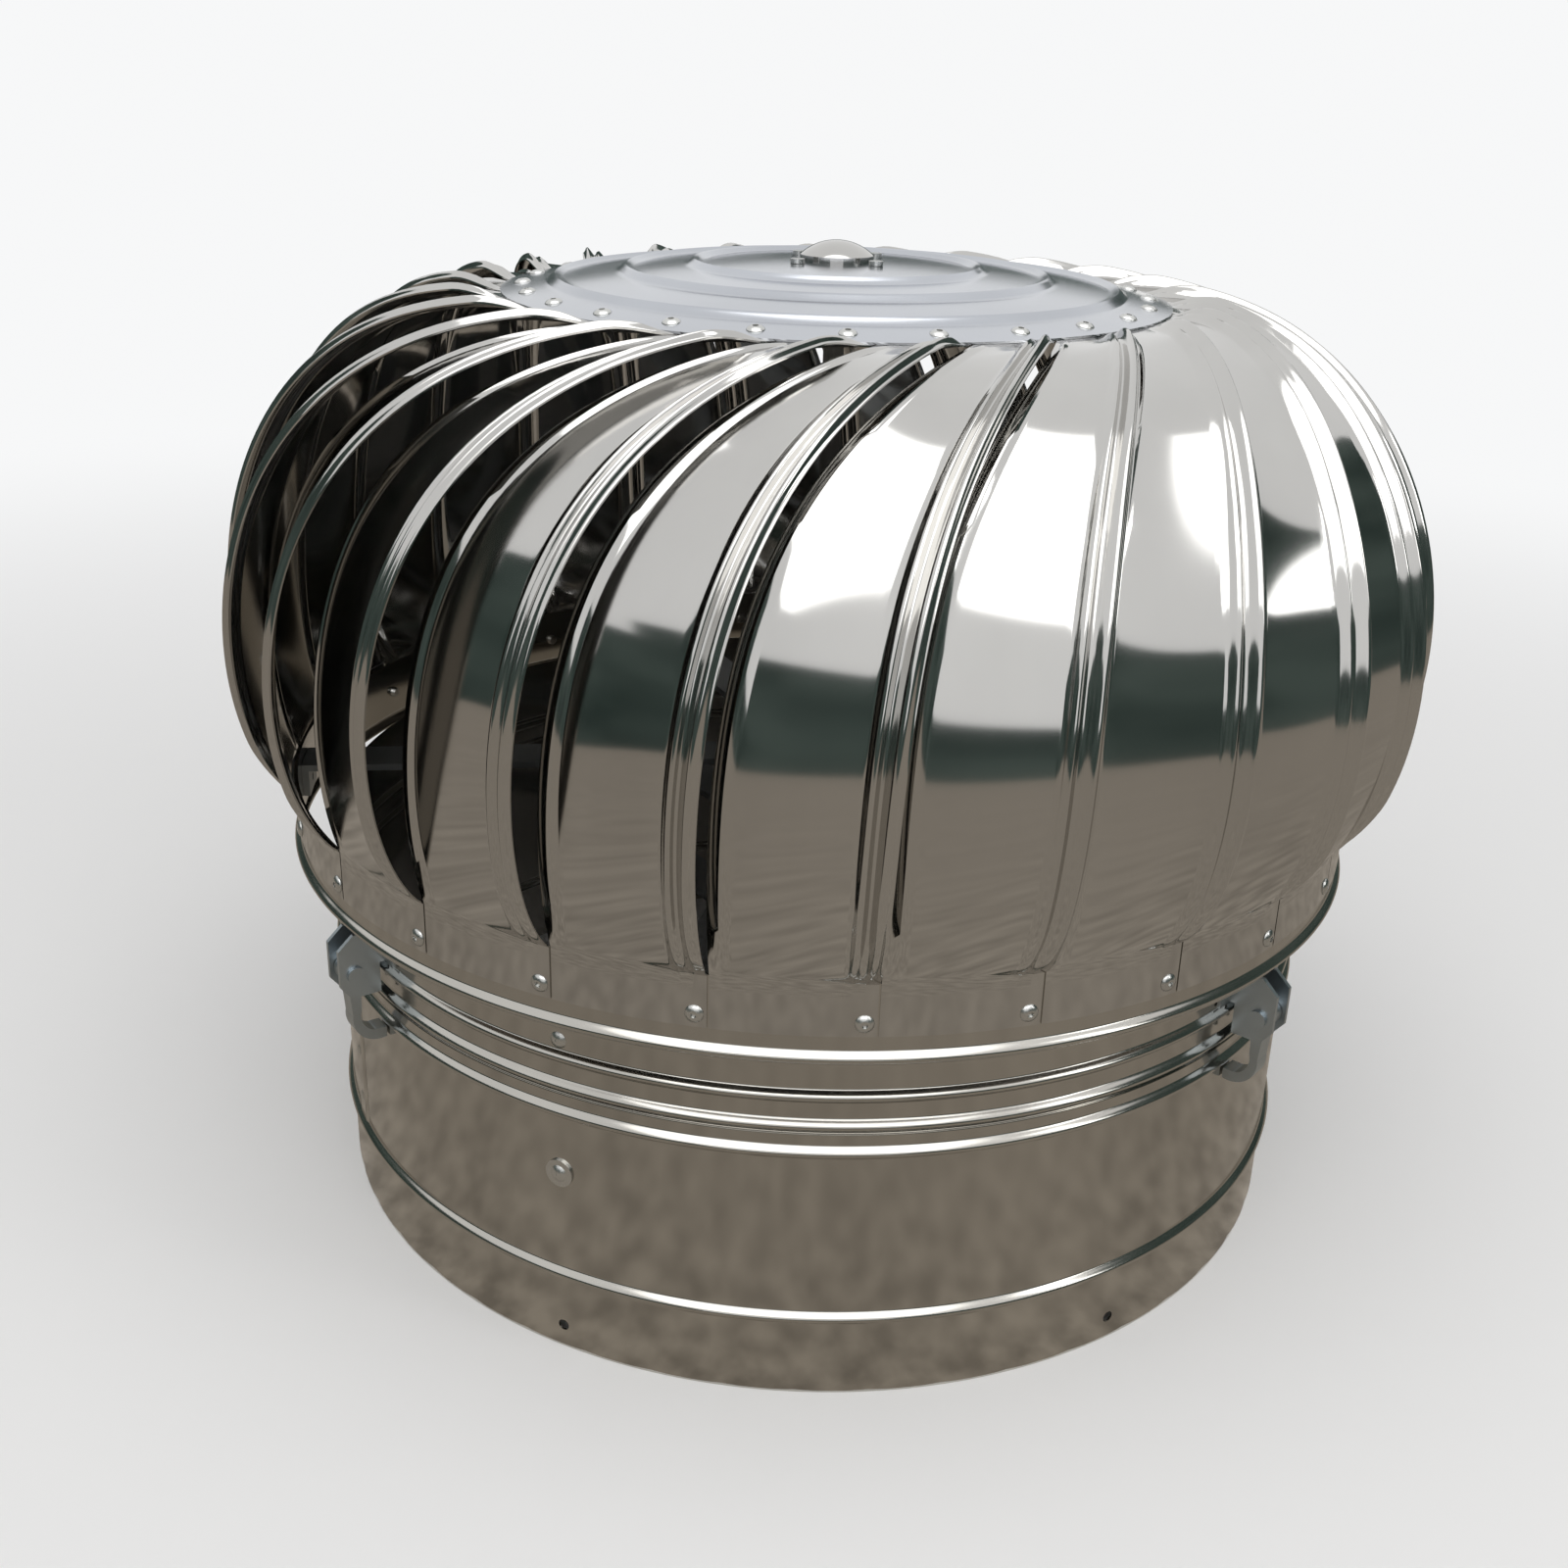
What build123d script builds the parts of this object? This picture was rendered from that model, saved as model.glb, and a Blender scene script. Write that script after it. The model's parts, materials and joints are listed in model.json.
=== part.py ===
from build123d import *
import math
import os

# Roof turbine ventilator: a fixed round neck, and a head of curved vanes that the wind turns
# on a fixed shaft. Millimetres, +Z up, origin on the neck's axis in the plane of its bottom rim.

# Fixed neck
NECK_RADIUS = 300.0        # outside of the drum's wall
SHEET = 1.2                # neck, ring and crown sheet
DRUM_HEIGHT = 161.0
LOW_BEAD_Z = 49.0
TOP_BEAD_Z = DRUM_HEIGHT - 10.0
BEAD = 4.0                 # half height of a rolled bead
BEAD_REACH = 3.4           # how far a bead stands out
FIX_HOLE = 6.5             # roof fixing holes near the bottom rim
FIX_HOLE_Z = 14.0
FIX_HOLES = 6
SLEEVE_GAP = 0.2           # collar inside drum
COLLAR_OVERLAP = 27.0
COLLAR_BEADS = (5.0, 22.0)  # above the drum's top edge
COLLAR_TOP_ABOVE = 67.0    # collar's top edge above the drum's top edge

SEAM_ANGLE = 207.0
SEAM_RIVETS = (67.0, 99.0)

# Spiders that hold the shaft
SPIDER_ARMS = 3
SPIDER_ANGLE = -115.0      # one arm faces front left
ARM_WIDTH = 30.0
ARM_THICK = 4.0
ARM_TAB = 30.0
HUB_RADIUS = 26.0
LOWER_RIVET_Z = 113.0
UPPER_RIVET_Z = DRUM_HEIGHT + 31.0
SEAT_GAP = 0.1

# Shaft and bearings
SHAFT_RADIUS = 6.0
SHAFT_BELOW = 26.0         # shaft under the lower spider
NUT_ACROSS = 19.0
NUT_HEIGHT = 8.0
BEARING_OUTER = 16.0
BEARING_WIDTH = 10.0
INNER_RING = 2.9           # thickness of a bearing's inner ring
OUTER_RING = 2.7
BALLS = 8
BALL_RUN = 0.3             # running gap between balls and inner ring
HOUSING_WALL = 5.0
FLANGE_RADIUS = 40.0
SCREW_CIRCLE = 31.0
SCREW_RADIUS = 2.0
HUB_SCREWS = 4

# Turning head
BLADES = 25
RING_RADIUS = 320.0        # outside of the rotor ring's wall
RING_GAP = 52.0            # ring's bottom edge above the drum's top edge
RING_HEIGHT = 45.0
BLADE_SHEET = 0.8
BLADE_SLIT = 1.0
TAB_HEIGHT = 28.0
RIM_RADIUS = 190.0         # crown disc
CROWN_Z = 531.0            # top face of the disc's rim
CROWN_RISE = 18.0
CROWN_RIDGES = (RIM_RADIUS - 109.0, RIM_RADIUS - 70.0, RIM_RADIUS - 30.0)
RIDGE = 5.0
RIDGE_HEIGHT = 3.0
CROWN_LAP = 22.0           # how far the blades reach under the disc
BELLY = (26.0, 80.0)       # how the vane leaves the ring: outward, upward
SHOULDER = (132.0, -8.0)  # how the vane's flat shoulder leaves the disc: outward, upward
GAP_OPEN = 24.0            # how far the vane's leading edge stands out at its widest
LEAN = 29.0                # degrees that a vane turns from ring to crown
FIRST_EDGE = -98.6         # degrees, right edge of blade 01 at the ring
RIB_HEIGHT = 4.5           # rolled rib beside the vane's leading edge
RIB_SHARE = 0.17           # share of the vane's width that the rib takes
VANE_ROWS = 14             # sections that shape a vane
TAB_GAP = 0.1              # vane's tabs to the ring and the disc
ROTOR_ARMS = 5

# Rivets
RIVET_SHANK = 2.4
RIVET_HEAD = 4.8
RIVET_DOME = 2.0
WASHER = 8.0
WASHER_THICK = 1.2

# Latches
LATCH_ANGLES = {"right": -39.0, "left": 217.0}
PLATE_WIDTH = 40.0
PLATE_THICK = 2.0
EAR_THICK = 2.5
EAR_SPACE = 12.0           # clear width between a latch's two ears
PIN_RADIUS = 3.0
PIN_OUT = 19.0             # pin centre outside the collar
PIN_Z = DRUM_HEIGHT + 23.0
CLAW_GAP = 0.4
CLAW_EYE = 7.0

# Worked out from the sizes above
DRUM_INNER = NECK_RADIUS - SHEET
COLLAR_RADIUS = DRUM_INNER - SLEEVE_GAP
COLLAR_INNER = COLLAR_RADIUS - SHEET
COLLAR_BOTTOM = DRUM_HEIGHT - COLLAR_OVERLAP
COLLAR_TOP = DRUM_HEIGHT + COLLAR_TOP_ABOVE
RING_BOTTOM = DRUM_HEIGHT + RING_GAP
RING_TOP = RING_BOTTOM + RING_HEIGHT
RING_INNER = RING_RADIUS - SHEET
TAB_BOTTOM = RING_TOP - TAB_HEIGHT
HUB_TOP_RADIUS = BEARING_OUTER + HOUSING_WALL
BLADE_RIVET_Z = TAB_BOTTOM + 7.0
ROTOR_TAB = 20.0
PITCH = 360.0 / BLADES
CROWN_RIVET_RADIUS = RIM_RADIUS - 12.0


def crown_height(radius):
    """Top face of the crown disc at a radius, without its ridges."""
    return CROWN_Z + CROWN_RISE * (1 - (radius / RIM_RADIUS) ** 2)


CROWN_TILT = math.degrees(math.atan(2 * CROWN_RISE * CROWN_RIVET_RADIUS / RIM_RADIUS ** 2))
CROWN_TOP = crown_height(0)
UPPER_BEARING_Z = CROWN_TOP - 22.0
ROTOR_ARM_Z = COLLAR_TOP + 18.0         # underside of the head's own spider
LOWER_BEARING_Z = ROTOR_ARM_Z + ARM_THICK + 4.0
SHAFT_TOP = UPPER_BEARING_Z + BEARING_WIDTH / 2 + NUT_HEIGHT + 1.0
LOWER_ARM_Z = LOWER_RIVET_Z - ARM_TAB / 2
UPPER_ARM_Z = UPPER_RIVET_Z - ARM_TAB / 2

parts = {}


def around(shape, degrees):
    """Shape turned about the ventilator's axis."""
    return Rot(0, 0, degrees) * shape


def turned(lines):
    """Solid of revolution of a closed outline drawn in the XZ plane."""
    return revolve(make_face(lines), Axis.Z, 360)


def dome_arc(radius, rise, base):
    """Arc of a spherical dome, from its rim to its top on the axis."""
    ball = (radius ** 2 + rise ** 2) / (2 * rise)
    middle = math.asin(radius / ball) / 2
    drop = ball * (1 - math.cos(middle))
    return ThreePointArc((radius, 0, base), (ball * math.sin(middle), 0, base + rise - drop), (0, 0, base + rise))


def outline(points):
    """Closed straight outline in the XZ plane."""
    return Polyline([(x, 0, z) for x, z in points], close=True)


def beaded_sleeve(radius, bottom, top, bead_heights):
    """Sheet cylinder with half-round beads rolled outward."""
    outer, inner = [], []
    low = bottom
    for z in bead_heights:
        rise = BEAD - SHEET / 2
        outer.append(Line((radius, 0, low), (radius, 0, z - BEAD)))
        outer.append(ThreePointArc((radius, 0, z - BEAD), (radius + BEAD_REACH, 0, z), (radius, 0, z + BEAD)))
        wall = radius - SHEET
        start = low if not inner else inner_low
        inner.append(Line((wall, 0, start), (wall, 0, z - rise)))
        inner.append(ThreePointArc((wall, 0, z - rise), (wall + BEAD_REACH, 0, z), (wall, 0, z + rise)))
        low, inner_low = z + BEAD, z + rise
    outer.append(Line((radius, 0, low), (radius, 0, top)))
    inner.append(Line((radius - SHEET, 0, inner_low), (radius - SHEET, 0, top)))
    ends = [Line((radius, 0, top), (radius - SHEET, 0, top)), Line((radius, 0, bottom), (radius - SHEET, 0, bottom))]
    return turned(Curve() + outer + inner + ends)


def radial_pin(radius, start, end, z, degrees):
    """Cylinder along a radius, from start to end."""
    pin = Pos((start + end) / 2, 0, z) * Rot(0, 90, 0) * Cylinder(radius, end - start)
    return around(pin, degrees)


def blind_rivet(face, grip, z, degrees, washer=False):
    """Radial blind rivet: domed head on the outer face, set bulb behind the grip."""
    seat = face + (WASHER_THICK if washer else 0)
    points = [(0, seat + RIVET_DOME), (0, face - grip - 3), (RIVET_SHANK * 1.2, face - grip - 3),
              (RIVET_SHANK * 1.5, face - grip), (RIVET_SHANK, face - grip), (RIVET_SHANK, seat), (RIVET_HEAD, seat)]
    lines = [Line((x0, 0, z0), (x1, 0, z1)) for (x0, z0), (x1, z1) in zip(points, points[1:])]
    rivet = turned(Curve() + lines + [dome_arc(RIVET_HEAD, RIVET_DOME, seat)])
    if washer:
        ring = Cylinder(WASHER, WASHER_THICK) - Cylinder(RIVET_SHANK, WASHER_THICK * 2)
        rivet = rivet + Pos(0, 0, face + WASHER_THICK / 2) * ring
    return around(Pos(0, 0, z) * Rot(0, 90, 0) * rivet, degrees)


def spider(wall_radius, arm_z, arms, first_angle, bore, hub_height, tab_height=ARM_TAB, tab_low=0):
    """Flat arms from a hub to upright end tabs that seat on a round wall."""
    flat = math.sqrt((wall_radius - SEAT_GAP) ** 2 - (ARM_WIDTH / 2) ** 2)
    body = Pos(0, 0, arm_z + hub_height / 2) * Cylinder(HUB_RADIUS, hub_height)
    for index in range(arms):
        arm = Pos(flat / 2, 0, arm_z + ARM_THICK / 2) * Box(flat, ARM_WIDTH, ARM_THICK)
        tab = Pos(flat - ARM_THICK / 2, 0, arm_z + tab_low + tab_height / 2) * Box(ARM_THICK, ARM_WIDTH, tab_height)
        body = body + around(arm + tab, first_angle + index * 360 / arms)
    return body - Pos(0, 0, arm_z + hub_height / 2) * Cylinder(bore, hub_height * 2), flat


# %% Neck
def neck():
    drum = beaded_sleeve(NECK_RADIUS, 0, DRUM_HEIGHT, (LOW_BEAD_Z, TOP_BEAD_Z))
    collar = beaded_sleeve(COLLAR_RADIUS, COLLAR_BOTTOM, COLLAR_TOP, [DRUM_HEIGHT + z for z in COLLAR_BEADS])
    for index in range(FIX_HOLES):
        angle = SPIDER_ANGLE + index * 360 / FIX_HOLES
        drum = drum - radial_pin(FIX_HOLE / 2, DRUM_INNER - 5, NECK_RADIUS + 5, FIX_HOLE_Z, angle)
    lower, lower_flat = spider(DRUM_INNER, LOWER_ARM_Z, SPIDER_ARMS, SPIDER_ANGLE, SHAFT_RADIUS, ARM_THICK + 8)
    upper, upper_flat = spider(COLLAR_INNER, UPPER_ARM_Z, SPIDER_ARMS, SPIDER_ANGLE, SHAFT_RADIUS, ARM_THICK + 8)
    rivets = []
    for index in range(SPIDER_ARMS):
        angle = SPIDER_ANGLE + index * 360 / SPIDER_ARMS
        low_hole = radial_pin(RIVET_SHANK, lower_flat - 10, NECK_RADIUS + 5, LOWER_RIVET_Z, angle)
        high_hole = radial_pin(RIVET_SHANK, upper_flat - 10, NECK_RADIUS + 5, UPPER_RIVET_Z, angle)
        drum = drum - low_hole
        lower = lower - low_hole
        collar = collar - high_hole
        upper = upper - high_hole
        low_grip = NECK_RADIUS - lower_flat + ARM_THICK
        high_grip = COLLAR_RADIUS - upper_flat + ARM_THICK
        rivets.append(blind_rivet(NECK_RADIUS, low_grip, LOWER_RIVET_Z, angle, washer=True))
        rivets.append(blind_rivet(COLLAR_RADIUS, high_grip, UPPER_RIVET_Z, angle))
    seam = []
    for z in SEAM_RIVETS:
        hole = radial_pin(RIVET_SHANK, DRUM_INNER - 5, NECK_RADIUS + 5, z, SEAM_ANGLE)
        drum = drum - hole
        seam.append(blind_rivet(NECK_RADIUS, SHEET + 0.1, z, SEAM_ANGLE))
    parts["base_drum"] = drum
    parts["neck_collar"] = collar
    parts["lower_spider"] = lower
    parts["upper_spider"] = upper
    parts["spider_rivets"] = Compound(rivets)
    parts["drum_seam_rivets"] = Compound(seam)


def hex_nut(bottom, height=NUT_HEIGHT):
    nut = extrude(RegularPolygon(NUT_ACROSS / 2, 6, major_radius=False), height) - Cylinder(SHAFT_RADIUS, height * 4)
    return Pos(0, 0, bottom) * nut


# %% Shaft and bearings
def shaft():
    bottom = LOWER_ARM_Z - SHAFT_BELOW
    rod = Pos(0, 0, (bottom + SHAFT_TOP) / 2) * Cylinder(SHAFT_RADIUS, SHAFT_TOP - bottom)
    parts["shaft"] = chamfer(rod.edges().filter_by(GeomType.CIRCLE), 1.0)
    hub = ARM_THICK + 8
    parts["shaft_nuts"] = Compound([
        hex_nut(LOWER_ARM_Z - NUT_HEIGHT), hex_nut(LOWER_ARM_Z + hub), hex_nut(UPPER_ARM_Z - NUT_HEIGHT),
        hex_nut(UPPER_ARM_Z + hub)])
    parts["bearing_lock_nut"] = hex_nut(UPPER_BEARING_Z + BEARING_WIDTH / 2)
    collar_height = 8.0
    ring = Cylinder(SHAFT_RADIUS + 3.0, collar_height) - Cylinder(SHAFT_RADIUS, collar_height * 2)
    parts["shaft_collars"] = Compound([
        Pos(0, 0, z - BEARING_WIDTH / 2 - collar_height / 2) * ring for z in (LOWER_BEARING_Z, UPPER_BEARING_Z)])


def bearing(name, z):
    """Deep-groove bearing in three pieces: inner ring on the shaft, outer ring and balls."""
    inner = SHAFT_RADIUS + INNER_RING
    outer = BEARING_OUTER - OUTER_RING
    ball = (outer - inner) / 2 - BALL_RUN / 2
    track = outer - ball
    ring = Cylinder(inner, BEARING_WIDTH) - Cylinder(SHAFT_RADIUS, BEARING_WIDTH * 2)
    race = Cylinder(BEARING_OUTER, BEARING_WIDTH) - Cylinder(outer, BEARING_WIDTH * 2)
    parts[name + "_inner_ring"] = Pos(0, 0, z) * ring
    parts[name + "_outer_ring"] = Pos(0, 0, z) * race
    parts[name + "_balls"] = Compound([around(Pos(track, 0, z) * Sphere(ball), i * 360 / BALLS) for i in range(BALLS)])


# %% Head
def blade_path(t):
    """Radius and height of a vane's inner edge, t from 0 at the ring to 1 at the crown disc."""
    end_z = crown_height(RIM_RADIUS) - SHEET - TAB_GAP
    p = [(RING_RADIUS + BLADE_SHEET + TAB_GAP, RING_TOP), (RING_RADIUS + BELLY[0], RING_TOP + BELLY[1]),
         (RIM_RADIUS + SHOULDER[0], end_z + SHOULDER[1]), (RIM_RADIUS, end_z)]
    w = ((1 - t) ** 3, 3 * t * (1 - t) ** 2, 3 * t * t * (1 - t), t ** 3)
    return sum(a * q[0] for a, q in zip(w, p)), sum(a * q[1] for a, q in zip(w, p))


def rib_shape(s):
    """Height of the rolled rib, 0 to 1, across a vane."""
    along = (s - 1 + RIB_SHARE) / RIB_SHARE
    return math.sin(math.pi * along) ** 2 if along > 0 else 0


def vane_point(t, s, depth):
    """Point on a vane: s runs from its rear edge, 0, to its proud leading edge, 1."""
    step = 0.005
    r0, z0 = blade_path(t - step)
    r1, z1 = blade_path(t + step)
    radius, height = blade_path(t)
    length = math.hypot(r1 - r0, z1 - z0)
    out_r, out_z = (z1 - z0) / length, (r0 - r1) / length
    proud = GAP_OPEN * math.sin(math.pi * t ** 0.8) * s ** 1.7
    proud += RIB_HEIGHT * min(1, 8 * t * (1 - t)) * rib_shape(s)
    angle = math.radians(FIRST_EDGE + LEAN * t ** 4 - (1 - s) * vane_width(radius))
    radius += out_r * (proud - depth)
    height += out_z * (proud - depth)
    return Vector(radius * math.cos(angle), radius * math.sin(angle), height)


def vane_width(radius):
    """Degrees that a vane spans, with a slit to its neighbour."""
    return PITCH - math.degrees(BLADE_SLIT / radius)


def tab(points, end_angle):
    """Sheet tab that spans one vane's width: an outline turned about the axis."""
    width = vane_width(points[0][0])
    return around(revolve(make_face(outline(points)), Axis.Z, width), end_angle - width)


def vane():
    """One curved vane with a tab on the ring and a tab under the crown disc."""
    rows = [index / VANE_ROWS for index in range(VANE_ROWS + 1)]
    skins = []
    for depth in (0, BLADE_SHEET):
        skins.append(Face.make_surface_from_array_of_points([[vane_point(t, s, depth) for s in COLUMNS] for t in rows]))
    sides = []
    for edge in skins[0].edges():
        twin = min(skins[1].edges(), key=lambda other: (other @ 0.5 - edge @ 0.5).length)
        sides.append(Face.make_surface_from_curves(edge, twin))
    body = Solid(Shell(skins + sides))
    inner = RING_RADIUS + TAB_GAP
    outer = inner + BLADE_SHEET
    top = RING_TOP + BLADE_SHEET / 2
    ring_tab = tab([(inner, TAB_BOTTOM), (outer, TAB_BOTTOM), (outer, top), (inner, top)], FIRST_EDGE)
    lap = RIM_RADIUS - CROWN_LAP
    rim = RIM_RADIUS + BLADE_SHEET / 2
    seat = SHEET + TAB_GAP
    corners = [(lap, crown_height(lap) - seat), (rim, crown_height(rim) - seat),
               (rim, crown_height(rim) - seat - BLADE_SHEET), (lap, crown_height(lap) - seat - BLADE_SHEET)]
    crown_tab = tab(corners, FIRST_EDGE + LEAN)
    return body + ring_tab + crown_tab


COLUMNS = [0, 0.25, 0.5, 0.7] + [1 - RIB_SHARE * (1 - step / 4) for step in range(5)]


def rotor():
    ring = beaded_sleeve(RING_RADIUS, RING_BOTTOM, RING_TOP, (RING_BOTTOM + BEAD + 1,))
    blade = vane()
    rivet_in = math.degrees(6.0 / RING_RADIUS)
    rivet_angle = FIRST_EDGE - rivet_in
    blade = blade - radial_pin(RIVET_SHANK, RING_INNER - 5, RING_RADIUS + 8, BLADE_RIVET_Z, rivet_angle)
    top_angle = FIRST_EDGE + LEAN - math.degrees(12.0 / CROWN_RIVET_RADIUS)
    seat = crown_height(CROWN_RIVET_RADIUS)
    top_hole = around(Pos(CROWN_RIVET_RADIUS, 0, seat) * Rot(0, CROWN_TILT, 0) * Cylinder(RIVET_SHANK, 30), top_angle)
    blade = blade - top_hole
    arms, flat = spider(RING_INNER, ROTOR_ARM_Z, ROTOR_ARMS, rivet_angle, BEARING_OUTER, BEARING_WIDTH + 8,
                        ROTOR_TAB, ARM_THICK - ROTOR_TAB)
    holes = [radial_pin(RIVET_SHANK, flat - 10, RING_RADIUS + 5, BLADE_RIVET_Z, rivet_angle + i * PITCH) for i in range(BLADES)]
    ring = ring - holes
    rivets, top_rivets = [], []
    disc = crown()
    disc_holes = [around(top_hole, i * PITCH) for i in range(BLADES)]
    disc = disc - disc_holes
    for index in range(BLADES):
        turn = index * PITCH
        parts["blade_%02d" % (index + 1)] = around(blade, turn)
        on_arm = index % (BLADES // ROTOR_ARMS) == 0
        grip = BLADE_SHEET + 2 * TAB_GAP + (RING_RADIUS - flat + ARM_THICK if on_arm else SHEET)
        rivets.append(blind_rivet(RING_RADIUS + BLADE_SHEET + TAB_GAP, grip, BLADE_RIVET_Z, rivet_angle + turn))
        top_rivets.append(around(crown_rivet(top_angle), turn))
    for index in range(ROTOR_ARMS):
        arms = arms - holes[index * BLADES // ROTOR_ARMS]
    parts["rotor_ring"] = ring
    parts["rotor_spider"] = arms
    parts["blade_rivets"] = Compound(rivets)
    parts["crown_disc"] = disc
    parts["crown_rivets"] = Compound(top_rivets)


def crown_rivet(degrees):
    """Upright rivet through the crown disc and the end of a vane."""
    seat = crown_height(CROWN_RIVET_RADIUS)
    grip = SHEET + TAB_GAP + BLADE_SHEET + TAB_GAP
    return around(Pos(CROWN_RIVET_RADIUS, 0, seat) * Rot(0, CROWN_TILT - 90, 0) * blind_rivet(0, grip, 0, 0), degrees)


def crown():
    """Domed disc with three raised rings."""
    edge_radius = HUB_TOP_RADIUS
    top, under = [], []
    start = edge_radius
    for ridge in CROWN_RIDGES:
        a, b = ridge - RIDGE, ridge + RIDGE
        for lines, drop in ((top, 0), (under, SHEET)):
            lines.append(Line((start, 0, crown_height(start) - drop), (a, 0, crown_height(a) - drop)))
            peak = (ridge, 0, crown_height(ridge) + RIDGE_HEIGHT - drop)
            lines.append(ThreePointArc((a, 0, crown_height(a) - drop), peak, (b, 0, crown_height(b) - drop)))
        start = b
    ends = []
    for lines, drop in ((top, 0), (under, SHEET)):
        lines.append(Line((start, 0, crown_height(start) - drop), (RIM_RADIUS, 0, crown_height(RIM_RADIUS) - drop)))
    ends.append(Line((RIM_RADIUS, 0, CROWN_Z), (RIM_RADIUS, 0, CROWN_Z - SHEET)))
    inner_z = crown_height(edge_radius)
    ends.append(Line((edge_radius, 0, inner_z), (edge_radius, 0, inner_z - SHEET)))
    return turned(Curve() + top + under + ends)


def hub_cap():
    """Bearing housing under the disc's centre, with its flange below the sheet, and the cap above."""
    first = CROWN_RIDGES[0] - RIDGE
    slope = (crown_height(first) - crown_height(HUB_TOP_RADIUS)) / (first - HUB_TOP_RADIUS)
    top = crown_height(HUB_TOP_RADIUS) + slope * (FLANGE_RADIUS - HUB_TOP_RADIUS) - SHEET - 0.05
    low = UPPER_BEARING_Z - BEARING_WIDTH / 2
    seat = crown_height(HUB_TOP_RADIUS) - SHEET
    points = [(BEARING_OUTER, low), (HUB_TOP_RADIUS, low), (HUB_TOP_RADIUS, top - 4), (FLANGE_RADIUS, top - 4),
              (FLANGE_RADIUS, top), (HUB_TOP_RADIUS, seat), (HUB_TOP_RADIUS, seat + SHEET), (BEARING_OUTER, seat + SHEET)]
    parts["bearing_housing"] = turned(outline(points))
    screws = []
    head = crown_height(SCREW_CIRCLE - 2 * SCREW_RADIUS)
    for index in range(HUB_SCREWS):
        turn = (index + 0.5) * 360 / HUB_SCREWS
        shank = Pos(SCREW_CIRCLE, 0, head - 5) * Cylinder(SCREW_RADIUS, 10)
        screws.append(around(shank + Pos(SCREW_CIRCLE, 0, head + 1.2) * Cylinder(2 * SCREW_RADIUS, 2.4), turn))
        hole = around(Pos(SCREW_CIRCLE, 0, CROWN_TOP) * Cylinder(SCREW_RADIUS, 40), turn)
        parts["crown_disc"] = parts["crown_disc"] - hole
        parts["bearing_housing"] = parts["bearing_housing"] - hole
    parts["hub_screws"] = Compound(screws)
    base = seat + SHEET
    side, rise = 3.0, 8.0
    cap = turned(Curve() + [
        Line((0, 0, 0), (HUB_TOP_RADIUS, 0, 0)), Line((HUB_TOP_RADIUS, 0, 0), (HUB_TOP_RADIUS, 0, side)),
        dome_arc(HUB_TOP_RADIUS, rise, side),
        Line((0, 0, side + rise), (0, 0, 0))])
    cap = Pos(0, 0, base) * cap
    parts["hub_cap"] = cap


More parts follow.
